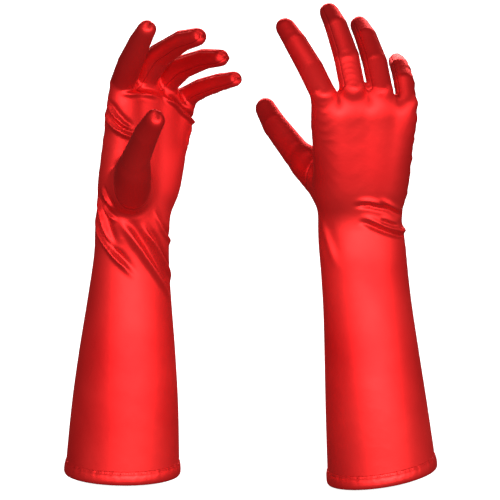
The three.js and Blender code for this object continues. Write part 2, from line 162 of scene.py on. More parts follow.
sleeve = {
    # height over the hem, half width across the hand, half depth from back to palm
    "left": [(-30, 42.8, 45.0), (0, 41.3, 43.8), (50, 38.5, 41.0), (90, 35.4, 36.6), (128, 31.8, 31.2),
             (160, 29.8, 26.0), (184, 29.2, 23.0), (205, 29.8, 21.0), (230, 32.0, 18.5)],
    "right": [(-30, 42.0, 45.0), (0, 40.6, 43.8), (50, 37.8, 41.0), (90, 35.2, 36.6), (128, 33.0, 31.2),
              (160, 32.3, 27.0), (184, 32.2, 24.0), (205, 32.4, 21.5), (230, 33.0, 18.5)],
    "hemShift": {"left": -0.8, "right": 0.8},      # the hem's centre goes this far to the right
    "handShare": (-24, 20),            # the sleeve's section turns into the hand's here, mm past the wrist
    "below": 30, "above": 60, "endRound": 14.0,    # how far the arm's shape runs past the hem and the wrist
}
palm = {
    # height over the wrist, half width, half depth
    "stations": [(-30, 29.8, 24.5), (-8, 29.8, 22.5), (12, 30.4, 20.0), (40, 33.2, 17.0), (62, 36.8, 13.2),
                 (80, 38.0, 9.6), (94, 38.4, 7.6)],
    "roundness": 2.4,
    "boneDepth": 15.5,                 # half depth of the hand's bones at the wrist end
    "boneWidth": 9.5,                  # and their half width there
    "boneStart": 26, "boneSpread": 0.72,   # mm past the wrist, and how far they fan out there
    "run": (-60, 88), "endRound": 8.0,
    "merge": 9.0, "mergeEnd": 1.6,     # how far the hand's bones melt together, low down and at their ends
    "mergeRun": (-16, 18),             # the change from one to the other, mm from a finger's root
}
# the pad under the thumb runs from its root along a share of its first length, the other one from a place
# up from the wrist, over to the little finger's side and out of the palm
heel = {"out": 1.5, "reach": 0.65, "across": [16.0, 12.4], "depth": [15.5, 11.4]}
edgePad = {"up": 24, "over": 19, "out": 6, "length": 26, "across": [11.0, 10.0], "depth": [11.5, 9.0]}
# how far the shapes run together
melt = {"joint": 0.5, "fingers": 0.8, "thumb": 7.0, "pads": 10.0}
stationStep = 3.0                      # stations are read from a curve with a sample about this often
# half widths and half depths at a digit's root, at its two further bends and at its tip
digits = {
    "thumb": {"across": [13.5, 11.4, 10.1, 8.6], "depth": [12.5, 10.3, 9.0, 7.6]},
    "index": {"across": [9.7, 9.6, 8.8, 7.6], "depth": [9.8, 9.1, 8.0, 6.9]},
    "middle": {"across": [9.6, 9.6, 8.7, 7.5], "depth": [9.8, 9.2, 8.1, 7.0]},
    "ring": {"across": [9.4, 9.4, 8.5, 7.2], "depth": [9.5, 9.0, 7.8, 6.6]},
    "little": {"across": [8.5, 8.2, 7.5, 6.5], "depth": [8.5, 7.9, 7.0, 6.0]},
}


def ovalField(p, origin, along, across, facing, start, end, stations, roundness=2.0, endRound=None):
    # distance to a tube of oval sections: half width and half depth are read from the stations at the
    # point's height, heights past the ends count as depth, and distance is (k - 1) / |grad k| with
    # k the roundness-norm of the point over the half sizes
    w = p - origin
    t = w @ along
    h = np.clip(t, start, end)
    table = curveThrough(stations, stationStep)
    a = np.interp(h, table[:, 0], table[:, 1])
    b = np.interp(h, table[:, 0], table[:, 2])
    c = endRound or (a + b) / 2
    x = np.abs(w @ across)
    y = np.abs(w @ facing)
    z = np.abs(t - h)
    q = roundness
    total = (x / a) ** q + (y / b) ** q + (z / c) ** q + 1e-9
    k = total ** (1 / q)
    slope = k ** (1 - q) * np.sqrt(x ** (2 * q - 2) / a ** (2 * q) + y ** (2 * q - 2) / b ** (2 * q)
                                   + z ** (2 * q - 2) / c ** (2 * q)) + 1e-6
    return (k - 1) / slope


def barFrame(start, end, hinge):
    along = unit(end - start)
    return along, unit(hinge - along * (hinge @ along)), np.linalg.norm(end - start)


def boneField(p, start, end, hinge, across, depth):
    # one straight length of a digit, tapering from across[0] x depth[0] to across[1] x depth[1]
    along, side, length = barFrame(start, end, hinge)
    stations = [(0, across[0], depth[0]), (length, across[1], depth[1])]
    return ovalField(p, start, along, side, np.cross(side, along), 0, length, stations)


def digitField(p, bones, name):
    points = bones[name]
    sizes = digits[name]
    hinge = bones[name + "Axis"]
    field = None
    for k in range(3):
        across = sizes["across"][k:k + 2]
        depth = sizes["depth"][k:k + 2]
        end = points[k + 1]
        if k == 2:
            end = points[3] - unit(points[3] - points[2]) * across[1]
        part = boneField(p, points[k], end, hinge, across, depth)
        field = part if field is None else smoothMin(field, part, melt["joint"])
    return field


def palmField(p, bones):
    field = ovalField(p, bones["wrist"], bones["along"], bones["across"], bones["facing"], *palm["run"],
                      palm["stations"], palm["roundness"], palm["endRound"])
    wrist = bones["wrist"]
    for name in digitNames[1:]:
        root = bones[name][0]
        offset = root - wrist
        start = wrist + bones["along"] * palm["boneStart"]
        start = start + bones["across"] * (offset @ bones["across"]) * palm["boneSpread"]
        bone = boneField(p, start, root, bones["across"], [palm["boneWidth"], digits[name]["across"][0]],
                         [palm["boneDepth"], digits[name]["depth"][0]])
        run = smoothStep((p - root) @ bones["along"], *palm["mergeRun"])
        field = smoothMin(field, bone, palm["merge"] + (palm["mergeEnd"] - palm["merge"]) * run)
    # the pads under the thumb and under the little finger
    heelStart = bones["thumb"][0] + bones["facing"] * heel["out"]
    heelEnd = bones["thumb"][0] * (1 - heel["reach"]) + bones["thumb"][1] * heel["reach"]
    thumbPad = boneField(p, heelStart, heelEnd, bones["thumbAxis"], heel["across"], heel["depth"])
    field = smoothMin(field, thumbPad, melt["pads"])
    low = wrist + bones["along"] * edgePad["up"] - bones["across"] * edgePad["over"]
    low = low + bones["facing"] * edgePad["out"]
    high = low + bones["along"] * edgePad["length"]
    littlePad = boneField(p, low, high, bones["across"], edgePad["across"], edgePad["depth"])
    return smoothMin(field, littlePad, melt["pads"])


def gloveField(p, bones):
    length = bones["sleeveLength"]
    arm = ovalField(p, bones["hem"], bones["sleeveAlong"], bones["sleeveAcross"], bones["sleeveFacing"],
                    -sleeve["below"], length + sleeve["above"], sleeve[bones["side"]],
                    endRound=sleeve["endRound"])
    start, end = sleeve["handShare"]
    share = smoothStep((p - bones["hem"]) @ bones["sleeveAlong"], length + start, length + end)
    field = (1 - share) * arm + share * palmField(p, bones)
    fingers = None
    for name in digitNames[1:]:
        finger = digitField(p, bones, name)
        fingers = finger if fingers is None else np.minimum(fingers, finger)
    field = smoothMin(field, fingers, melt["fingers"])
    return smoothMin(field, digitField(p, bones, "thumb"), melt["thumb"])


def fieldSlope(p, bones, value):
    # the field's slope by small steps along X, Y and Z
    steps = np.eye(3) * skin["slopeStep"]
    return np.stack([(gloveField(p + step, bones) - value) / skin["slopeStep"] for step in steps], axis=1)


def linkedObject(name, data):
    piece = bpy.data.objects.new(name, data)
    bpy.context.scene.collection.objects.link(piece)
    return piece


def roughTube(start, end, hinge, across, depth, count=20):
    # a closed tapered tube with round ends: rings along start-end, each an oval, shrinking as a dome
    along, side, length = barFrame(start, end, hinge)
    up = np.cross(side, along)
    dome = np.linspace(0.02, np.pi / 2, 5)
    straight = np.linspace(0, length, 5)[1:-1]
    t = np.concatenate([-np.cos(dome) * across[0], straight, length + np.sin(dome - dome[0]) * across[1]])
    scale = np.concatenate([np.sin(dome), np.ones(3), np.cos(dome - dome[0])])
    scale[-1] = 0.02
    share = np.clip(t / length, 0, 1)
    a = (across[0] + (across[1] - across[0]) * share) * scale
    b = (depth[0] + (depth[1] - depth[0]) * share) * scale
    turn = np.linspace(0, 2 * np.pi, count, endpoint=False)
    points = (start + along * t[:, None, None] + side * (a[:, None] * np.cos(turn))[..., None]
              + up * (b[:, None] * np.sin(turn))[..., None])
    faces = gridFaces(len(t), count).tolist()
    faces.append(list(range(count))[::-1])
    faces.append([(len(t) - 1) * count + j for j in range(count)])
    return points.reshape(-1, 3), faces


# half widths and half depths at the two ends of the sleeve, the hand and each finger's neck
rough = {
    "below": 26, "sleeve": ([36, 26], [38, 18]),
    "handLength": 78, "hand": ([26, 34], [16, 9]),
    "neckStart": 70, "neckSpread": 0.9, "neck": ([6, 6], [6, 6]),
    "tipShort": 1.2,                   # the last length stops this share of its width before the fingertip
}


def roughGlove(bones):
    # thin overlapping tubes, only to give the skin its connections: one for each bone of the field
    thin = skin["thinShare"]
    tubes = []
    wrist = bones["wrist"]
    bottom = bones["hem"] - bones["sleeveAlong"] * rough["below"]
    tubes.append((bottom, wrist, bones["sleeveAcross"], *rough["sleeve"]))
    tubes.append((wrist, wrist + bones["along"] * rough["handLength"], bones["across"], *rough["hand"]))
    for name in digitNames:
        points = bones[name]
        sizes = digits[name]
        if name != "thumb":
            low = wrist + bones["along"] * rough["neckStart"]
            low = low + bones["across"] * ((points[0] - wrist) @ bones["across"]) * rough["neckSpread"]
            tubes.append((low, points[0], bones["across"], *rough["neck"]))
        for k in range(3):
            end = points[k + 1]
            if k == 2:
                end = end - unit(end - points[2]) * sizes["across"][3] * rough["tipShort"]
            across = [v * thin for v in sizes["across"][k:k + 2]]
            depth = [v * thin for v in sizes["depth"][k:k + 2]]
            tubes.append((points[k], end, bones[name + "Axis"], across, depth))
    allPoints = []
    allFaces = []
    for tube in tubes:
        points, faces = roughTube(*tube)
        allFaces += [[v + len(allPoints) for v in face] for face in faces]
        allPoints += points.tolist()
    data = bpy.data.meshes.new("rough")
    data.from_pydata((np.array(allPoints) * mm).tolist(), [], allFaces)
    data.validate()
    data.update()
    return linkedObject(bones["side"] + "_rough", data)


def meshArrays(piece):
    # the piece's points in mm and its quads, with modifiers applied
    ready = piece.evaluated_get(bpy.context.evaluated_depsgraph_get())
    data = ready.to_mesh()
    co = np.empty(len(data.vertices) * 3)
    data.vertices.foreach_get("co", co)
    faces = [tuple(f.vertices) for f in data.polygons]
    ready.to_mesh_clear()
    return co.reshape(-1, 3) / mm, faces


def edgePairs(faces):
    f = np.array(faces)
    pairs = np.concatenate([f[:, [k, (k + 1) % f.shape[1]]] for k in range(f.shape[1])])
    return np.unique(np.sort(pairs, axis=1), axis=0)


def neighbourMean(values, edges, count):
    # the mean of each point's neighbours, column by column
    a, b = edges[:, 0], edges[:, 1]
    degree = np.bincount(a, minlength=count) + np.bincount(b, minlength=count)
    total = np.stack([np.bincount(a, values[b, k], count) + np.bincount(b, values[a, k], count)
                      for k in range(values.shape[1])], axis=1)
    return total / np.maximum(degree, 1)[:, None]


skin = {
    "voxel": 1.25, "thinShare": 0.7, "clothWall": 0.5,
    "steps": 10, "slopeStep": 0.15, "largestMove": 3,
    "spread": 3, "spreadShare": 0.6,   # how often and how far each step evens the points' spacing
    "smoothing": 5, "handSmoothing": 60, "regain": 1.1,
    # mm past the wrist where the hand's easing comes and goes, and mm out of the thumb where it comes
    "easeIn": (-40, 0), "easeOut": (86, 114), "easeThumb": (1, 9),
}


def gloveSkin(bones):
    # remesh the rough tubes into one skin, then slide every point onto the field's zero surface:
    # each step moves a point by -value * slope / |slope|^2, and evens the spacing along the surface
    start = roughGlove(bones)
    remesh = start.modifiers.new("remesh", "REMESH")
    remesh.mode = "VOXEL"
    remesh.voxel_size = skin["voxel"] * mm
    bpy.context.view_layer.update()
    p, faces = meshArrays(start)
    bpy.data.objects.remove(start)
    edges = edgePairs(faces)
    for step in range(skin["steps"]):
        value = gloveField(p, bones)
        slope = fieldSlope(p, bones, value)
        move = value / np.maximum((slope ** 2).sum(1), 0.05)
        p = p - slope * np.clip(move, -skin["largestMove"], skin["largestMove"])[:, None]
        if step < skin["steps"] - 1:
            n = slope / np.linalg.norm(slope, axis=1)[:, None]
            for _ in range(skin["spread"]):
                move = neighbourMean(p, edges, len(p)) - p
                p = p + skin["spreadShare"] * (move - n * (move * n).sum(1)[:, None])
    # the cloth is stretched over the hand, so it is eased flat there, and a little everywhere
    up = (p - bones["wrist"]) @ bones["along"]
    ease = smoothStep(up, *skin["easeIn"]) * (1 - smoothStep(up, *skin["easeOut"]))
    ease = ease * smoothStep(digitField(p, bones, "thumb"), *skin["easeThumb"])
    for k in range(skin["handSmoothing"]):
        share = 0.5 if k < skin["smoothing"] else 0.5 * ease[:, None]
        p = p + share * (neighbourMean(p, edges, len(p)) - p)
    # easing shrinks the hand, so it grows back by a fixed amount
    p = p + vertexNormals(p, np.array([f for f in faces if len(f) == 4])) * (skin["regain"] * ease)[:, None]
    worst = np.abs(gloveField(p, bones)).max()
    print(bones["side"], "skin:", len(p), "points, worst distance", round(float(worst), 2))
    return p, faces


charts = {"wristMix": 20, "jointMix": 8}      # mm each side of a bend over which two readings are mixed


def clothChart(p, bones):
    # height along the arm and hand in mm, and the angle round it: 0 at the thumb's side, a quarter turn on
    # the palm side, half a turn at the little finger's side. The sleeve's and the hand's own readings are
    # mixed over a band at the wrist
    low = p - bones["hem"]
    high = p - bones["wrist"]
    lowHeight = low @ bones["sleeveAlong"]
    highHeight = bones["sleeveLength"] + high @ bones["along"]
    share = smoothStep(lowHeight - bones["sleeveLength"], -charts["wristMix"], charts["wristMix"])
    x = (1 - share) * (low @ bones["sleeveAcross"]) + share * (high @ bones["across"])
    y = (1 - share) * (low @ bones["sleeveFacing"]) + share * (high @ bones["facing"])
    return (1 - share) * lowHeight + share * highHeight, np.arctan2(y, x)


def digitChart(p, bones, name):
    # along the digit in mm and the angle round it, 0 on the thumb's side and a quarter turn on the pad; the
    # directions turn smoothly from one length to the next
    points = bones[name]
    runs = [(p - points[k]) @ digitFrame(bones, name, k)[0] for k in range(3)]
    later = [smoothStep(runs[k], -charts["jointMix"], charts["jointMix"])[:, None] for k in (1, 2)]
    shares = [1 - later[0], later[0] * (1 - later[1]), later[0] * later[1]]
    along, side, padSide = [np.stack(v) for v in zip(*(digitFrame(bones, name, k) for k in range(3)))]
    centre = sum((points[k] + along[k] * runs[k][:, None]) * shares[k] for k in range(3))
    sideways = sum(side[k] * shares[k] for k in range(3))
    padward = sum(padSide[k] * shares[k] for k in range(3))
    lengths = [np.linalg.norm(points[k + 1] - points[k]) for k in range(2)]
    run = np.where(later[0][:, 0] > 0.5, runs[1] + lengths[0], runs[0])
    run = np.where(later[1][:, 0] > 0.5, runs[2] + sum(lengths), run)
    offset = p - centre
    return run, np.arctan2((offset * padward).sum(axis=1), (offset * sideways).sum(axis=1))


# where the cloth is divided: mm past a finger's root, and shares of its first two lengths; for the thumb,
# mm from the wrist square to the thumb's plane, and mm along its first length. A quad more than reach from
# a digit stays with the hand
cuts = {"hand": 2.5, "middle": 0.55, "tip": 0.5, "thumbHand": 33.0, "thumbMiddle": 40.0, "reach": 4}


def pieceLabels(c, bones):
    # 0 for the hand and sleeve, 1 + 3 * digit + length for the three lengths of each digit
    label = np.zeros(len(c), int)
    near = np.stack([digitField(c, bones, name) for name in digitNames], axis=1)
    nearest = near.argmin(axis=1)
    for k, name in enumerate(digitNames):
        points = bones[name]
        first = unit(points[1] - points[0])
        second = unit(points[2] - points[1])
        run = (c - points[0]) @ first
        past = run > cuts["hand"]
        toMiddle = run > cuts["middle"] * np.linalg.norm(points[1] - points[0])
        if name == "thumb":
            past = (c - bones["wrist"]) @ thumbPlane(bones) > cuts["thumbHand"]
            toMiddle = run > cuts["thumbMiddle"]
        toTip = (c - points[1]) @ second > cuts["tip"] * np.linalg.norm(points[2] - points[1])
        mine = (nearest == k) & past & (near[:, k] < cuts["reach"])
        label[mine] = 1 + 3 * k + toMiddle[mine].astype(int) + (toMiddle & toTip)[mine].astype(int)
    return label


def thumbPlane(bones):
    # the direction square to the plane that parts the thumb from the hand
    return unit(bones["facing"] + bones["across"] * 0.5)


def fold(marks, height, width, hollow=0.5, fadeOut=0.35):
    # marks are (height over the hem in mm, angle round the arm in degrees), height and width are in mm, and
    # hollow is the share of the height by which the cloth sinks beside the fold
    return {"marks": marks, "height": height, "width": width, "hollow": hollow, "fadeIn": 0.3,
            "fadeOut": fadeOut}


foldStrength = {"left": 1.9, "right": 1.45}
folds = {
    "left": [
        fold([(196, -30), (184, -6), (178, 4), (170, 19), (161, 38), (151, 56)], 1.5, 1.8, hollow=0.7),
        fold([(210, -22), (198, -6), (185, 6), (176, 17), (171, 34)], 1.6, 2.3, hollow=0.6),
        fold([(197, 22), (186, 44), (170, 70), (155, 93), (142, 112), (130, 132)], 1.9, 2.8, hollow=0.6),
        fold([(194, 62), (186, 76), (176, 94), (163, 114), (150, 138), (144, 158)], 1.6, 1.9, hollow=0.7),
        fold([(206, 84), (198, 98), (187, 114), (177, 140), (172, 165)], 1.1, 1.8, hollow=0.7),
        fold([(216, -4), (208, 8), (200, 20)], 1.0, 1.5),
        fold([(205, -6), (198, 5), (193, 24)], 0.9, 1.4),
        fold([(280, -12), (274, 0), (267, 12), (259, 30)], 1.3, 1.5, hollow=0.7),
        fold([(272, -14), (267, -3), (260, 13), (254, 38)], 1.3, 1.6, hollow=0.7),
        fold([(288, 8), (288, 40), (286, 70), (284, 98)], 1.2, 2.0),
        fold([(290, 92), (286, 112), (281, 141), (272, 158), (264, 176)],
             1.6, 1.3, hollow=0.9, fadeOut=0.15),
        fold([(268, 170), (256, 160), (244, 158)], 1.0, 1.8),
    ],
    "right": [
        fold([(213, -60), (213, -85), (211, -110), (206, -135), (196, -156)], -1.3, 1.7, hollow=-0.5),
        fold([(216, -108), (212, -125), (201, -154), (196, -170)], -1.1, 1.5, hollow=-0.5),
        fold([(201, -72), (197, -95), (193, -110), (187, -131), (182, -152), (179, -172)],
             -1.5, 1.9, hollow=-0.6, fadeOut=0.15),
        fold([(200, -112), (196, -128), (189, -152)], -1.0, 1.4, hollow=-0.5),
        fold([(200, -12), (190, -20), (177, -29), (162, -35)], 0.6, 2.8),
        fold([(186, -150), (184, -166), (184, -182)], 1.3, 2.2, hollow=0.3),
    ],
}


seams = {
    "reach": 4.0,                      # cloth this near a seam knows its distance from it
    "groove": 0.25, "grooveWidth": 0.9,
    "pucker": 0.05, "puckerWidth": 2.0, "puckerRun": 3.3,
    "sidePucker": 0.5, "sidePuckerWidth": 7.0,
    "fingerTurn": 42.0,                # the strips' seams lie this far from a finger's side
    "crotch": 4.0,                     # two seams meet between two fingers, mm below the fingers' roots
    "thumbHole": 31.0,                 # mm from the wrist, square to the thumb's plane
}


def digitFrame(bones, name, k):
    # the digit's own directions at its k-th length: along it, to the thumb's side, out of its pad
    points = bones[name]
    along = unit(points[k + 1] - points[k])
    hinge = bones[name + "Axis"]
    if hinge @ bones["across"] < 0:
        hinge = -hinge
    side = unit(hinge - along * (hinge @ along))
    pad = np.cross(side, along)
    if np.cross(bones["across"], bones["along"]) @ bones["facing"] < 0:
        pad = -pad
    return along, side, pad


def digitLine(bones, name, turn):
    # points down a digit's side from its tip to its root: turn is 0 on the thumb's side and 90 on the pad
    points = bones[name]
    sizes = digits[name]
    c, s = math.cos(math.radians(turn)), math.sin(math.radians(turn))
    line = []
    for k in (2, 1, 0):
        along, side, pad = digitFrame(bones, name, k)
        length = np.linalg.norm(points[k + 1] - points[k])
        if k == 2:
            length -= sizes["across"][3]
            line.append(points[3] - along * 0.6 + side * c * 1.5 + pad * s * 1.5)
            line.append(points[3] - along * 3.2 + side * c * 5.6 + pad * s * 5.0)
        for share in (0.92, 0.5, 0.12):
            a = sizes["across"][k] + (sizes["across"][k + 1] - sizes["across"][k]) * share
            b = sizes["depth"][k] + (sizes["depth"][k + 1] - sizes["depth"][k]) * share
            line.append(points[k] + along * (length * share) + side * a * c + pad * b * s)
    return line


def seamLines(bones, cloth):
    lines = []
    turn = seams["fingerTurn"]
    for thumbward, littleward in zip(digitNames[1:4], digitNames[2:5]):
        for one, other in ((180 + turn, -turn), (180 - turn, turn)):
            down = digitLine(bones, thumbward, one)
            back = digitLine(bones, littleward, other)
            crotch = (down[-1] + back[-1]) / 2 - bones["along"] * seams["crotch"]
            lines.append(down + [crotch] + back[::-1])
    side = digitLine(bones, "little", 180)
    top = bones["sleeveLength"] + (bones["little"][0] - bones["wrist"]) @ bones["along"]
    heights = [top - 6, top - 30, 230, 190, 120, 60, 11]
    edge = chartCurve(cloth, [(height, 180) for height in heights])
    lines.append(side + list(edge[::12]))
    return lines


def markSeams(cloth, bones):
    # every point learns how far it is across and away from the nearest seam; the cloth sinks at the seam
    # and puckers beside it
    count = len(cloth["p"])
    across = np.full(count, 9.0)
    away = np.full(count, 9.0)
    lines = seamLines(bones, cloth)
    lift = np.zeros(count)
    for line in lines:
        near, side, gap, run, _ = alongCurve(cloth, curveThrough(line, 0.7), seams["sidePuckerWidth"] * 1.6)
        closer = gap < away[near]
        across[near[closer]] = side[closer]
        away[near[closer]] = gap[closer]
        if line is lines[-1]:
            # the long side seam gathers the cloth in uneven ripples
            ripple = np.sin(run / 1.35 + 0.8 * np.sin(run / 7.1)) * 0.6 + np.sin(run / 2.3 + 1.3) * 0.5
            ripple *= 0.12 + 0.88 * smoothStep(-run, -170, -90)
            lift[near] += seams["sidePucker"] * ripple * np.exp(-(gap / seams["sidePuckerWidth"]) ** 2)
        close = np.exp(-((np.abs(side) - seams["puckerWidth"]) / 1.1) ** 2) * (gap < seams["reach"])
        lift[near] += seams["pucker"] * close * np.sin(run * 2 * np.pi / seams["puckerRun"])
    # the set-in thumb's seam goes round the thumb's base
    out = (cloth["p"] - bones["wrist"]) @ thumbPlane(bones) - seams["thumbHole"]
    thumb = digitField(cloth["p"], bones, "thumb") < 6
    closer = thumb & (np.abs(out) < away)
    across[closer] = out[closer]
    away[closer] = np.abs(out[closer])
    lift -= seams["groove"] * np.exp(-(across / seams["grooveWidth"]) ** 2) * (away < seams["reach"])
    cloth["p"] = cloth["p"] + cloth["n"] * lift[:, None]
    cloth["values"] = {"seamAcross": across, "seamAway": away}


def quadMesh(name, points, quads, normals=None, attributes=None, uv=None):
    # points in mm, quads as an array of four indices
    data = bpy.data.meshes.new(name)
    data.vertices.add(len(points))
    data.loops.add(quads.size)
    data.polygons.add(len(quads))
    data.vertices.foreach_set("co", (points * mm).astype(np.float32).ravel())
    data.loops.foreach_set("vertex_index", quads.ravel().astype(np.int32))
    data.polygons.foreach_set("loop_start", np.arange(0, quads.size, 4, dtype=np.int32))
    data.update(calc_edges=True)
    data.polygons.foreach_set("use_smooth", np.ones(len(quads), bool))
    if uv is not None:
        data.uv_layers.new(name="cloth").data.foreach_set("uv", uv.astype(np.float32).ravel())
    for key, values in (attributes or {}).items():
        data.attributes.new(key, "FLOAT", "POINT").data.foreach_set("value", values.astype(np.float32))
    if normals is not None:
        data.normals_split_custom_set_from_vertices(normals.tolist())
    return linkedObject(name, data)


def chartCurve(cloth, marks):
    # a curve on the hand and sleeve through marks of (height, angle in degrees): the curve is drawn on the
    # chart, each sample takes the mean of the cloth's points nearest on the chart, and it is evened out
    flat = curveThrough([(h, a * 0.6) for h, a in marks], 1.5)
    body = cloth["body"]
    height, angle = cloth["v"][body], np.degrees(cloth["u"][body])
    around = (angle[None, :] - flat[:, 1:] / 0.6 + 180) % 360 - 180
    away = (height[None, :] - flat[:, :1]) ** 2 + (around * 0.6) ** 2
    nearest = np.argpartition(away, 4, axis=1)[:, :4]
    line = cloth["p"][body][nearest].mean(axis=1)
    for _ in range(3):
        line[1:-1] = (line[:-2] + 2 * line[1:-1] + line[2:]) / 4
    return curveThrough(line[::2], 0.7)


def alongCurve(cloth, line, reach):
    # for the cloth's points within reach of a curve: which they are, how far across the curve they lie (to
    # the left of its run, seen from outside), how far away, and how far along, from 0 to the curve's length
    low, high = line.min(axis=0) - reach, line.max(axis=0) + reach
    near = np.flatnonzero(((cloth["p"] > low) & (cloth["p"] < high)).all(axis=1))
    p = cloth["p"][near]
    gaps = np.stack([((p - q) ** 2).sum(axis=1) for q in line], axis=1)
    best = gaps.argmin(axis=1)
    away = np.sqrt(gaps[np.arange(len(p)), best])
    inside = away < reach
    near, p, best, away = near[inside], p[inside], best[inside], away[inside]
    run = np.gradient(line, axis=0)
    run = run / np.maximum(np.linalg.norm(run, axis=1), 1e-9)[:, None]
    length = np.concatenate([[0], np.cumsum(np.linalg.norm(np.diff(line, axis=0), axis=1))])
    offset = p - line[best]
    left = np.cross(cloth["n"][near], run[best])
    across = (offset * left).sum(axis=1)
    return near, across, away, length[best] + (offset * run[best]).sum(axis=1), length[-1]


def foldCloth(cloth, side):
    # each fold lifts the cloth by height * bell(across / width), with a hollow beside it, and dies away
    # towards its two ends
    lift = np.zeros(len(cloth["p"]))
    strength = foldStrength[side]
    for crease in folds[side]:
        line = chartCurve(cloth, crease["marks"])
        width = crease["width"]
        near, across, _, run, length = alongCurve(cloth, line, width * 4.5)
        ends = smoothStep(run, 0, crease["fadeIn"] * length)
        ends = ends * smoothStep(length - run, 0, crease["fadeOut"] * length)
        crest = strength * crease["height"] * np.exp(-(across / width) ** 2)
        depth = strength * abs(crease["height"]) * crease["hollow"]
        hollow = depth * np.exp(-((across - width * 1.9) / (width * 1.3)) ** 2)
        lift[near] += (crest - hollow) * ends
    cloth["p"] = cloth["p"] + cloth["n"] * lift[:, None]


def unrolled(turns, middle):
    # the corners' turns of each quad, kept together where a quad lies across the join
    split = np.ptp(turns, axis=1)[:, None] > np.pi
    return np.where(split & (turns < middle), turns + 2 * np.pi, turns)


def wallPiece(name, cloth, chosen, wall, chart=None):
    # the chosen quads, a second layer wall inside them that looks inwards, and a rim between the two
    quads = cloth["faces"][chosen]
    used, local = np.unique(quads, return_inverse=True)
    quads = local.reshape(-1, 4)
    p, n = cloth["p"][used], cloth["n"][used]
    count = len(used)
    ends = np.concatenate([quads[:, [k, (k + 1) % 4]] for k in range(4)])
    key = ends.min(axis=1) * count + ends.max(axis=1)
    _, first, uses = np.unique(key, return_index=True, return_counts=True)
    rim = ends[first[uses == 1]]
    rimQuads = np.column_stack([rim[:, 1], rim[:, 0], rim[:, 0] + count, rim[:, 1] + count])
    allQuads = np.concatenate([quads, quads[:, ::-1] + count, rimQuads])
    points = np.concatenate([p, p - n * wall])
    values = {k: np.concatenate([v[used], v[used]]) for k, v in cloth["values"].items()}
    # u runs round and v along, in metres
    v, u = chart(p) if chart else (cloth["v"][used], cloth["u"][used])
    reach = 0.010 if chart else cloth["reach"]
    corners = unrolled(np.concatenate([u, u])[allQuads], 0)
    uv = np.stack([corners * reach, np.concatenate([v, v])[allQuads] * mm], axis=-1)
    return quadMesh(name, points, allQuads, np.concatenate([n, -n]), values, uv)


def sharedPoints(cloth, labelA, labelB):
    a = np.unique(cloth["faces"][cloth["label"] == labelA])
    b = np.unique(cloth["faces"][cloth["label"] == labelB])
    return cloth["p"][np.intersect1d(a, b)]


# how far a turn of the cloth would take each side of a hinge, and the least it may be left in all
bends = {"wrist": 22.0, "root": 12.0, "digit": 7.0, "least": 1.5, "clear": 0.05}


def bendBetween(piece, hinge, along, reach, before, after):
    # the span a turn would take, reach each side of the hinge, less where another piece is joined on: it is only
    # worked out and a narrow one reported; the piece is not turned, only its place is baked into its mesh
    start = -reach
    end = reach
    if len(before):
        start = max(start, ((before - hinge) @ along).max() + bends["clear"])
    if len(after):
        end = min(end, ((after - hinge) @ along).min() - bends["clear"])
    if end - start < bends["least"]:
        print("narrow bend in", piece.name, round(float(start), 1), round(float(end), 1))
        end = start + bends["least"]
    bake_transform(piece)


def gloveCloth(bones):
    # one skin with its folds, and what each of its points needs for its finish
    p, faces = gloveSkin(bones)
    faces = np.array([f for f in faces if len(f) == 4])
    height, angle = clothChart(p, bones)
    cloth = {"p": p, "faces": faces, "n": vertexNormals(p, faces), "u": angle, "v": height, "reach": 0.036}
    cloth["label"] = pieceLabels(p[faces].mean(axis=1), bones)
    cloth["body"] = np.unique(faces[cloth["label"] == 0])
    foldCloth(cloth, bones["side"])
    cloth["n"] = vertexNormals(cloth["p"], faces)
    markSeams(cloth, bones)
    cloth["n"] = vertexNormals(cloth["p"], faces)
    hemHeight = (p[faces].mean(axis=1) - bones["hem"]) @ bones["hemUp"]
    cloth["label"][hemHeight < hemPiece["clothStart"]] = -1
    return cloth


def clothPieces(bones, cloth):
    side = bones["side"]
    pieces = []
    body = wallPiece(f"{side}_sleeve_and_hand", cloth, cloth["label"] == 0, skin["clothWall"])
    joined = np.concatenate([sharedPoints(cloth, 0, 1 + 3 * k) for k in range(5)])
    turn = unit(bones["sleeveAlong"] + bones["along"])
    bendBetween(body, bones["wrist"], turn, bends["wrist"], [], joined)
    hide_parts(f"{side}_sleeve_back", f"{side}_sleeve_palm", f"{side}_hand_back",
                f"{side}_hand_palm", f"{side}_index_middle_web", f"{side}_middle_ring_web",
                f"{side}_ring_little_web")
    pieces.append(body)
    for k, name in enumerate(digitNames):
        points = bones[name]
        along = [unit(points[i + 1] - points[i]) for i in range(3)]
        for i, part in enumerate(("base", "middle", "tip")):
            label = 1 + 3 * k + i
            piece = wallPiece(f"{side}_{name}_{part}_cloth", cloth, cloth["label"] == label,
                              skin["clothWall"], lambda p: digitChart(p, bones, name))
            before = sharedPoints(cloth, label, label - 1 if i else 0)
            after = sharedPoints(cloth, label, label + 1) if i < 2 else []
            turn = unit(along[i - 1] + along[i]) if i else along[0]
            hinge, reach = points[i], bends["digit"]
            if i == 0:
                reach = bends["root"]
                if name == "thumb":
                    turn = thumbPlane(bones)
                    hinge = bones["wrist"]
                    reach += cuts["thumbHand"]
            bendBetween(piece, hinge, turn, reach, before, after)
            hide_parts(f"{side}_{name}_{part}")
            pieces.append(piece)
    return pieces


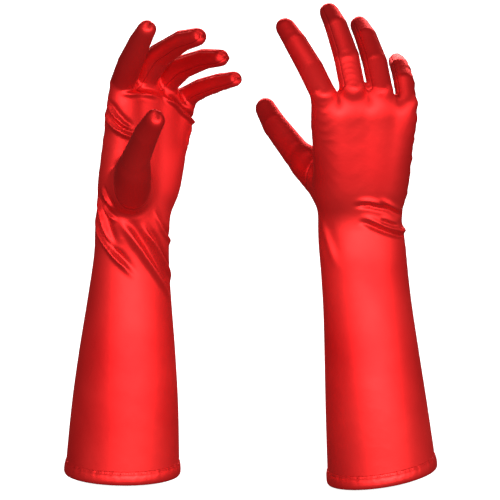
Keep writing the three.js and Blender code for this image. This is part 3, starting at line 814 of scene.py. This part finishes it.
hemPiece = {
    "clothStart": 8.0,                 # the sleeve's cloth starts here, under the hem's top edge
    "stitchHeight": 8.4,
    # height over the edge and how far out of the sleeve's surface, round the fold and back
    "profile": [(10.0, -0.1), (9.7, 0.2), (9.0, 0.42), (8.4, 0.28), (7.8, 0.5), (6.6, 0.85), (5.0, 1.0),
                (3.2, 1.05), (1.4, 0.95), (0.3, 0.65), (-0.5, 0.05), (-0.4, -0.6), (0.8, -1.1),
                (4.0, -1.35), (9.0, -1.45), (13.6, -1.45), (14.0, -1.25), (13.6, -1.05), (9.9, -0.95)],
    "around": 260,
    "puckerHeight": 3.2,
    # size in mm, how many go round, and where each starts
    "puckers": [(0.12, 31, 0.4), (0.10, 47, 2.1), (0.07, 73, 1.0)],
}


def hemRing(bones, height, turn):
    # the arm's surface at that height over the hem's plane: the oval section is read where a line along
    # the sleeve at this turn meets the plane, in three rounds
    table = curveThrough(sleeve[bones["side"]], stationStep)
    side, facing = bones["sleeveAcross"], bones["sleeveFacing"]
    t = height + 0 * turn
    for _ in range(3):
        a = np.interp(t, table[:, 0], table[:, 1])
        b = np.interp(t, table[:, 0], table[:, 2])
        out = side * (a * np.cos(turn))[..., None] + facing * (b * np.sin(turn))[..., None]
        t = (height - out @ bones["hemUp"]) / (bones["sleeveAlong"] @ bones["hemUp"])
    normal = side * (np.cos(turn) / a)[..., None] + facing * (np.sin(turn) / b)[..., None]
    normal = normal / np.linalg.norm(normal, axis=-1)[..., None]
    return bones["hem"] + bones["sleeveAlong"] * t[..., None] + out, normal


def hemBand(bones):
    # a closed loop carried round the opening: out over the fold, under the edge and up the inside
    profile = np.array(hemPiece["profile"], float)
    turn = np.linspace(0, 2 * np.pi, hemPiece["around"], endpoint=False)
    height, lift = profile[:, 0][:, None] + 0 * turn, profile[:, 1][:, None] + 0 * turn
    turns = turn[None, :] + 0 * height
    # small puckers where the stitches pull, fading to the edge
    pucker = sum(size * np.sin(waves * turns + shift) for size, waves, shift in hemPiece["puckers"])
    fade = np.exp(-((height - hemPiece["stitchHeight"]) / hemPiece["puckerHeight"]) ** 2)
    lift = lift + pucker * fade * (lift > -0.4)
    base, normal = hemRing(bones, height, turns)
    points = base + normal * lift[..., None]
    points = points.reshape(-1, 3)
    quads = gridFaces(*height.shape, closed=True)
    quads = turnedOut(points, quads, len(quads))
    u, v = turns.ravel(), np.broadcast_to(height, turns.shape).ravel()
    corners = unrolled(u[quads], np.pi)
    uv = np.stack([corners * 0.042, v[quads] * mm], axis=-1)
    piece = quadMesh(f"{bones['side']}_turned_hem", points, quads, None, {}, uv)
    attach(piece, f"{bones['side']}_sleeve")
    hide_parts(f"{bones['side']}_hem")
    return piece


hemStitch = {"height": 8.5, "count": 132, "length": 0.66, "rest": 0.24, "lift": 0.24, "thread": 0.22,
             "rings": 5, "sides": 6}


def hemStitches(bones):
    # a row of short stitches round the hem: each is a bent bar of a few faces that rises from the cloth and
    # goes back in, its middle lifted by lift * sin(half a turn along it)
    look = hemStitch
    rings, sides, count = look["rings"], look["sides"], look["count"]
    centre = np.linspace(0, 2 * np.pi, count, endpoint=False)
    along = np.linspace(-0.5, 0.5, rings)
    turns = centre[:, None] + along[None, :] * (2 * np.pi / count) * look["length"]
    base, normal = hemRing(bones, np.full(turns.shape, look["height"]), turns)
    middle = base + normal * (look["rest"] + look["lift"] * np.sin(np.pi * (along + 0.5)))[None, :, None]
    run = np.gradient(middle, axis=1)
    run = run / np.linalg.norm(run, axis=-1)[..., None]
    across = np.cross(normal, run)
    ringTurn = np.linspace(0, 2 * np.pi, sides, endpoint=False)
    thin = look["thread"] * np.sqrt(np.clip(1 - (along * 1.9) ** 2, 0.05, 1))[None, :, None, None]
    points = (middle[:, :, None] + across[:, :, None] * np.cos(ringTurn)[:, None] * thin
              + normal[:, :, None] * np.sin(ringTurn)[:, None] * thin).reshape(-1, 3)
    starts = np.arange(count)[:, None] * rings * sides
    tube = (starts[:, None] + gridFaces(rings, sides)[None]).reshape(-1, 4)
    last = starts + (rings - 1) * sides
    caps = [starts + [3, 2, 1, 0], starts + [5, 4, 3, 0], last + [0, 1, 2, 3], last + [0, 3, 4, 5]]
    quads = turnedOut(points, np.concatenate([tube, *caps]), len(tube))
    piece = quadMesh(f"{bones['side']}_hem_stitches", points, quads)
    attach(piece, f"{bones['side']}_sleeve")
    return piece


def setInputs(node, values):
    for key, value in values.items():
        node.inputs[key].default_value = value


def addNode(tree, kind, **values):
    # values are the node's inputs, or its settings where it has no such input
    node = tree.nodes.new(kind)
    for key, value in values.items():
        if key in node.inputs:
            node.inputs[key].default_value = value
        else:
            setattr(node, key, value)
    return node


def productNode(tree, one, other):
    # a node that multiplies two outputs
    node = addNode(tree, "ShaderNodeMath", operation="MULTIPLY")
    for socket, (source, output) in enumerate((one, other)):
        tree.links.new(source.outputs[output], node.inputs[socket])
    return node


def satinMaterial(name, look):
    material = bpy.data.materials.new(name)
    material.use_nodes = True
    tree = material.node_tree
    shader = tree.nodes["Principled BSDF"]
    coords = addNode(tree, "ShaderNodeTexCoord")
    # soft patches of lighter and darker cloth
    cloud = addNode(tree, "ShaderNodeTexNoise", Scale=look["patchScale"], Detail=3.0)
    tones = addNode(tree, "ShaderNodeValToRGB")
    for element, position, tone in zip(tones.color_ramp.elements, (0.3, 0.7), ("deep", "bright")):
        element.position = position
        element.color = (*look[tone], 1)
    # the floats of the satin run along the arm and the fingers, with finer flecks in them
    floats = addNode(tree, "ShaderNodeTexWave", Scale=look["threadScale"], Distortion=2.0, Detail=2.0,
                     bands_direction="X", **{"Detail Scale": 3.0})
    flecks = addNode(tree, "ShaderNodeTexNoise", Scale=look["fleckScale"], Detail=2.0)
    grain = productNode(tree, (floats, "Fac"), (flecks, "Fac"))
    # how near a seam is, in mm: painted shade along the line where two pieces meet, and a soft dip on both its
    # sides
    across = addNode(tree, "ShaderNodeAttribute", attribute_name="seamAcross")
    away = addNode(tree, "ShaderNodeAttribute", attribute_name="seamAway")
    size = addNode(tree, "ShaderNodeMath", operation="ABSOLUTE")
    line, dip, near = [addNode(tree, "ShaderNodeMapRange", interpolation_type="SMOOTHSTEP") for _ in range(3)]
    for node, start, end in ((line, 0.12, look["seamLine"]), (dip, 0.0, look["seamDip"]), (near, 1.6, 2.6)):
        setInputs(node, {"From Min": start, "From Max": end, "To Min": 1.0, "To Max": 0.0})
    seam = productNode(tree, (line, "Result"), (near, "Result"))
    hollow = productNode(tree, (dip, "Result"), (near, "Result"))
    # painted shade: along the seam's line the cloth's colour is mixed towards the shadow colour
    dark = addNode(tree, "ShaderNodeMath", operation="MULTIPLY")
    dark.inputs[1].default_value = look["seamPaintedShade"]
    coloured = addNode(tree, "ShaderNodeMix", data_type="RGBA")
    coloured.inputs[7].default_value = (*look["shadow"], 1)
    # rougher where the cloth is rubbed
    rub = addNode(tree, "ShaderNodeTexNoise", Scale=look["rubScale"], Detail=2.0)
    worn = addNode(tree, "ShaderNodeMapRange")
    setInputs(worn, {"To Min": look["roughness"] - 0.04, "To Max": look["roughness"] + 0.05})
    # bumps: threads, faint crumples, seam
    crumple = addNode(tree, "ShaderNodeTexNoise", Scale=look["crumpleScale"], Detail=3.0)
    threadBump = addNode(tree, "ShaderNodeBump", Strength=look["threadStrength"], Distance=0.0002)
    softBump = addNode(tree, "ShaderNodeBump", Strength=look["crumpleStrength"], Distance=0.0008)
    seamBump = addNode(tree, "ShaderNodeBump", Strength=look["seamStrength"], Distance=0.0005, invert=True)
    # satin shines in a band round the arm, across its floats
    tangent = addNode(tree, "ShaderNodeTangent", direction_type="UV_MAP")
    setInputs(shader, {"Anisotropic": look["anisotropy"], "Metallic": look["metallic"],
                       "Specular IOR Level": 0.35, "Specular Tint": (1.0, 0.35, 0.32, 1),
                       "Sheen Weight": look["sheen"], "Sheen Roughness": 0.4,
                       "Sheen Tint": (1.0, 0.25, 0.22, 1)})
    wires = [
        (coords, "Object", cloud, "Vector"), (cloud, "Fac", tones, "Fac"),
        (coords, "UV", floats, "Vector"), (coords, "Object", flecks, "Vector"),
        (across, "Fac", size, 0), (size, "Value", line, "Value"), (size, "Value", dip, "Value"),
        (away, "Fac", near, "Value"), (seam, "Value", dark, 0), (coords, "Object", rub, "Vector"),
        (rub, "Fac", worn, "Value"), (worn, "Result", shader, "Roughness"),
        (coords, "Object", crumple, "Vector"), (grain, "Value", threadBump, "Height"),
        (crumple, "Fac", softBump, "Height"), (hollow, "Value", seamBump, "Height"),
        (threadBump, "Normal", softBump, "Normal"), (softBump, "Normal", seamBump, "Normal"),
        (seamBump, "Normal", shader, "Normal"), (tangent, "Tangent", shader, "Tangent"),
        (dark, "Value", coloured, 0), (tones, "Color", coloured, 6),
        (coloured, 2, shader, "Base Color"),
    ]
    for source, output, target, socket in wires:
        tree.links.new(source.outputs[output], target.inputs[socket])
    return material


satin = {
    "deep": (0.62, 0.012, 0.013), "bright": (0.74, 0.024, 0.023), "shadow": (0.12, 0.001, 0.002),
    "patchScale": 14, "threadScale": 420, "fleckScale": 900, "threadStrength": 0.12,
    "crumpleScale": 120, "crumpleStrength": 0.10, "rubScale": 30,
    # the seams: width of the line of painted shade, width of the dip beside it, how far the line goes towards the
    # shadow colour, and the dip's bump
    "seamLine": 0.42, "seamDip": 1.1, "seamPaintedShade": 0.4, "seamStrength": 0.5,
    "metallic": 0.72, "roughness": 0.50, "anisotropy": 0.68, "sheen": 0.03,
}
hemSatin = dict(satin, threadStrength=0.2, crumpleStrength=0.2, roughness=0.46, seamPaintedShade=0.0)
threadLook = dict(satin, deep=(0.42, 0.004, 0.005), bright=(0.55, 0.008, 0.009), metallic=0.3,
                  roughness=0.5, anisotropy=0.2, seamPaintedShade=0.0)

leftBones = gloveBones("left")
rightBones = gloveBones("right")
satinFinish = satinMaterial("red_satin", satin)
hemFinish = satinMaterial("red_hem_satin", hemSatin)
threadFinish = satinMaterial("red_thread", threadLook)
for bones in (leftBones, rightBones):
    cloth = gloveCloth(bones)
    pieces = clothPieces(bones, cloth)
    for piece in pieces:
        piece.data.materials.append(satinFinish)
    for piece, finish in ((hemBand(bones), hemFinish), (hemStitches(bones), threadFinish)):
        piece.data.materials.append(finish)
        pieces.append(piece)
    print(bones["side"], "glove:", len(pieces), "pieces")


stageSizes = {"floorSize": 30.0, "floorDrop": 0.0015}
keyLight = {"place": (0.9, -6.0, 0.75), "size": 8.0, "tall": 1.1, "power": 610}
topLight = {"place": (-0.6, -1.5, 4.0), "size": 1.6, "tall": 1.6, "power": 40}
backLight = {"place": (0.4, 5.0, 2.0), "size": 4.0, "tall": 1.6, "power": 300}
view = {"target": (0.094, 0.0, 0.1687), "rise": 12.0, "distance": 10.0, "width": 0.37}


def addLight(name, setup):
    light = bpy.data.lights.new(name, "AREA")
    light.energy = setup["power"]
    light.shape = "RECTANGLE"
    light.size = setup["size"]
    light.size_y = setup["tall"]
    lamp = linkedObject(name, light)
    lamp.visible_camera = False
    lamp.location = setup["place"]
    aim = Vector(view["target"]) - Vector(setup["place"])
    lamp.rotation_euler = aim.to_track_quat("-Z", "Y").to_euler()


def addFloor():
    half = stageSizes["floorSize"] / 2
    low = cadBox[0][2] - stageSizes["floorDrop"]
    data = bpy.data.meshes.new("floor")
    corners = [(-half, -half, low), (half, -half, low), (half, half, low), (-half, half, low)]
    data.from_pydata(corners, [], [(0, 1, 2, 3)])
    floor = linkedObject("floor", data)
    paper = bpy.data.materials.new("pale_floor")
    paper.use_nodes = True
    shader = paper.node_tree.nodes["Principled BSDF"]
    setInputs(shader, {"Base Color": (0.9, 0.9, 0.9, 1), "Roughness": 0.9,
                       "Emission Color": (1, 1, 1, 1), "Emission Strength": 0.85})
    floor.data.materials.append(paper)
    floor.visible_glossy = False
    floor.visible_diffuse = False


def addCamera():
    rise = math.radians(view["rise"])
    back = Vector((0, -math.cos(rise), math.sin(rise)))
    data = bpy.data.cameras.new("camera")
    data.sensor_width = 36
    data.lens = 36 * view["distance"] / view["width"]
    camera = linkedObject("camera", data)
    camera.location = Vector(view["target"]) + back * view["distance"]
    camera.rotation_euler = (-back).to_track_quat("-Z", "Y").to_euler()
    bpy.context.scene.camera = camera


addFloor()
addLight("key", keyLight)
addLight("top", topLight)
addLight("back", backLight)
addCamera()
world = bpy.data.worlds.new("studio")
world.use_nodes = True
setInputs(world.node_tree.nodes["Background"], {"Color": (1, 1, 1, 1), "Strength": 0.12})
bpy.context.scene.world = world
bpy.context.scene.view_settings.view_transform = "Standard"
print("stage ready")
